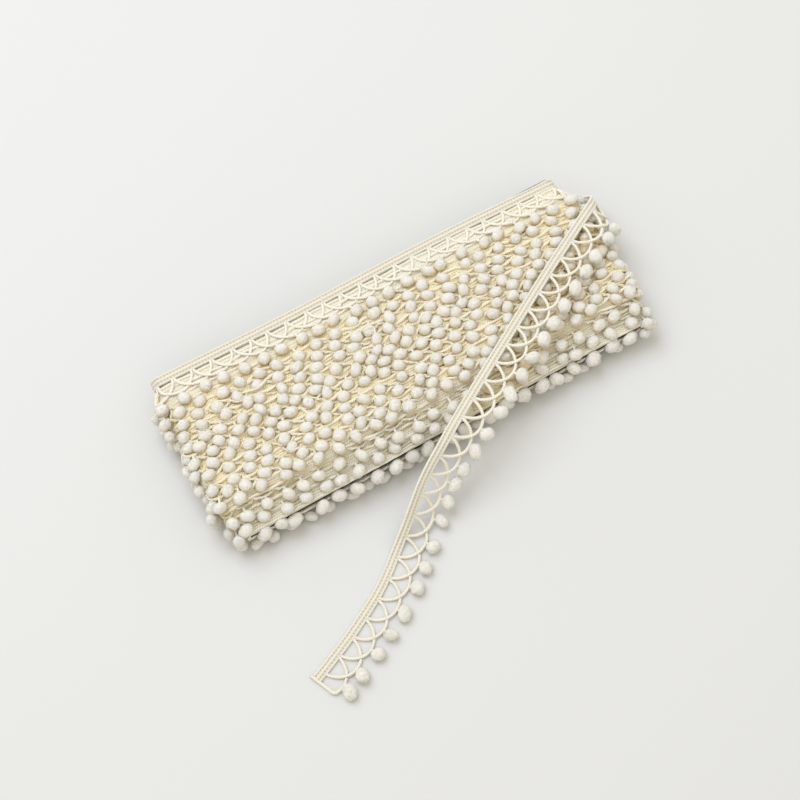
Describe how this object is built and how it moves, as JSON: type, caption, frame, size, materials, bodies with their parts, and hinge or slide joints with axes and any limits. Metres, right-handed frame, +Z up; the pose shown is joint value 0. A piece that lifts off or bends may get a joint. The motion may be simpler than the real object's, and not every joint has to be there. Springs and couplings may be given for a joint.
{
  "type": "pompom fringe trim wound on a card",
  "caption": "Cream cotton pompom fringe wound flat round a thin card, with its openwork loose end drawn over the top and down to the surface it lies on.",
  "frame": {"origin": "on the surface it lies on, under the middle of the wound laps", "axes": "+X along the laps, towards the end where the loose end comes off; +Y towards the trim's heading, the pompoms pointing to -Y; +Z up"},
  "size_m": [0.2202, 0.1591, 0.0294],
  "materials": {
    "cotton_cord": "matt twisted cotton cord and chain-worked tape, unbleached cream",
    "cotton_pompom": "soft matt cotton pompoms, off-white",
    "pale_board": "uncoated pale greyboard"
  },
  "bodies": {
    "root": {"winding_card": "pale_board", "wound_laps": "cotton_cord", "last_lap_heading": "cotton_cord", "loose_end_heading": "cotton_cord", "underside_fringe": "cotton_pompom", "loose_end_fringe_top": "cotton_pompom", "loose_end_fringe_fall": "cotton_pompom", "loose_end_fringe_floor": "cotton_pompom", "lap_01_fringe": "cotton_pompom", "lap_02_fringe": "cotton_pompom", "lap_03_fringe": "cotton_pompom", "lap_04_fringe": "cotton_pompom", "lap_05_fringe": "cotton_pompom", "lap_06_fringe": "cotton_pompom", "lap_07_fringe": "cotton_pompom", "lap_08_fringe": "cotton_pompom", "lap_09_fringe": "cotton_pompom", "lap_10_fringe": "cotton_pompom", "lap_11_fringe": "cotton_pompom", "lap_12_fringe": "cotton_pompom", "lap_13_fringe": "cotton_pompom", "lap_14_fringe": "cotton_pompom"}
  },
  "joints": []
}
